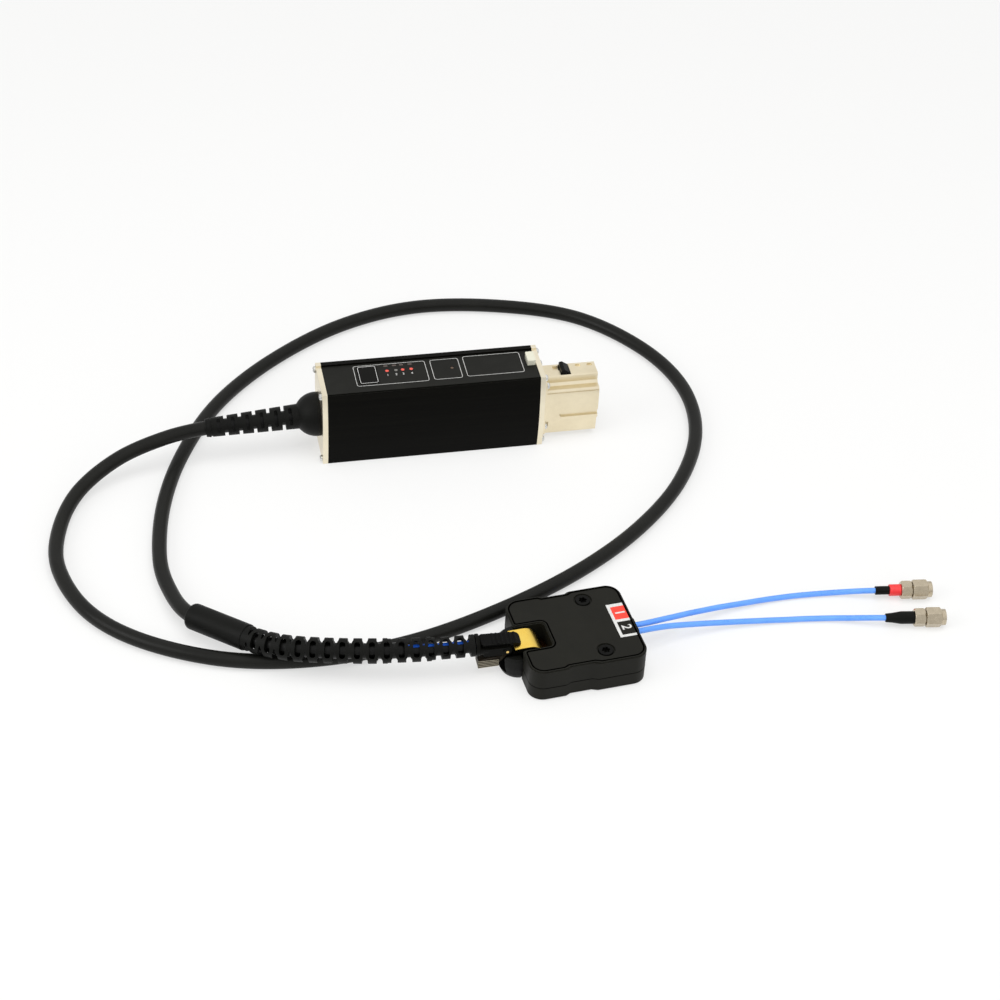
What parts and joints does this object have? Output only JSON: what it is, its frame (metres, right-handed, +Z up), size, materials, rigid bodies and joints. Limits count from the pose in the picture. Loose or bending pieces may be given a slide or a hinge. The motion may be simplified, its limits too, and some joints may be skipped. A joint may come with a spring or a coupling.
{
  "type": "oscilloscope probe",
  "caption": "Differential oscilloscope probe: a box that plugs into the instrument, a cable with a clip head, and a coaxial adapter with two leads.",
  "frame": {"origin": "centre of the underside of the compensation box, on the surface it rests on", "axes": "+X along the box towards its instrument plug, +Y away from the adapter, +Z up"},
  "size_m": [0.3897, 0.2944, 0.043],
  "materials": {
    "black_anodised": "fine-grained black anodised extrusion",
    "nickel_plate": "nickel-plated, warm satin",
    "nickel_casting": "nickel-plated casting, warm satin",
    "steel": "plain steel",
    "black_steel": "black oxide",
    "label_film": "matt black film with white lines",
    "dark_plastic": "fine-textured dark moulding",
    "cream_plastic": "cream moulding",
    "amber_lens": "brown translucent window",
    "circuit_board": "green solder mask",
    "cable_jacket": "smooth black cable jacket",
    "black_rubber": "soft black moulding",
    "blue_jacket": "blue coaxial jacket",
    "red_sleeve": "red channel band",
    "gold_plating": "gold-plated",
    "white_insulator": "white dielectric",
    "connector_steel": "passivated steel",
    "lever_nickel": "satin nickel"
  },
  "bodies": {
    "root": {"housing": "black_anodised", "cable_end_plate": "nickel_plate", "nose_end_plate": "nickel_plate", "cable_end_screws": "steel", "nose_end_screws": "steel", "control_label": "label_film", "mode_switch": "dark_plastic", "mode_leds": "amber_lens", "warning_led": "amber_lens", "control_board": "circuit_board", "main_board": "circuit_board", "shield_can": "steel", "latch_spring": "steel", "nose_body": "nickel_casting", "nose_screws": "steel", "nose_jack": "gold_plating", "nose_jack_insulator": "white_insulator", "nose_jack_contact": "gold_plating", "contact_block": "dark_plastic", "box_boot": "black_rubber", "boot_cable": "cable_jacket", "main_cable": "cable_jacket", "cable_sleeve": "black_rubber", "head_relief": "black_rubber", "head_coax_pair": "blue_jacket", "head_wires": "cable_jacket", "head_collar": "dark_plastic", "head_body": "dark_plastic", "head_board": "circuit_board", "upper_jaw": "dark_plastic", "pivot_pin": "gold_plating", "clip_spring": "steel", "clip_cradle": "dark_plastic", "flex_tongue": "gold_plating", "adapter_base": "dark_plastic", "adapter_top": "dark_plastic", "adapter_cover": "dark_plastic", "adapter_screws": "black_steel", "adapter_board": "circuit_board", "coax_grommet": "black_rubber", "coax_a": "blue_jacket", "coax_b": "blue_jacket", "lead_boots": "black_rubber", "channel_band": "red_sleeve", "connector_body_a": "connector_steel", "connector_body_b": "connector_steel", "snap_rings": "gold_plating", "dielectric_beads": "white_insulator", "centre_pins": "gold_plating"},
    "latch": {"release_button": "cream_plastic", "latch_plate": "steel", "latch_hook": "black_steel"},
    "mode_button": {"mode_button": "label_film"},
    "clip_lever": {"lower_lever": "lever_nickel", "lower_jaw": "dark_plastic"},
    "nut_a": {"coupling_nut_a": "connector_steel"},
    "nut_b": {"coupling_nut_b": "connector_steel"}
  },
  "joints": [
    {"name": "latch_slide", "type": "slide", "parent": "root", "child": "latch", "axis": [0, 0, -1], "range_m": [0, 0.0022], "stiffness_N_per_m": 600, "springref_m": -0.003, "deforming": ["latch_spring"]},
    {"name": "mode_press", "type": "slide", "parent": "root", "child": "mode_button", "axis": [0, 0, -1], "range_m": [0, 0.0004], "stiffness_N_per_m": 500, "springref_m": -0.002},
    {"name": "clip_hinge", "type": "hinge", "parent": "root", "child": "clip_lever", "pos_m": [0.0047, -0.1635, 0.01425], "axis": [0, 1, 0], "range_deg": [0, 6], "stiffness_Nm_per_rad": 0.05, "springref_deg": -22.92},
    {"name": "nut_a_spin", "type": "hinge", "parent": "root", "child": "nut_a", "pos_m": [0.19974, -0.14602, 0.004], "axis": [0.9936, -0.1132, 0], "continuous": true},
    {"name": "nut_b_spin", "type": "hinge", "parent": "root", "child": "nut_b", "pos_m": [0.19962, -0.16467, 0.004], "axis": [0.9914, -0.1305, 0], "continuous": true}
  ]
}
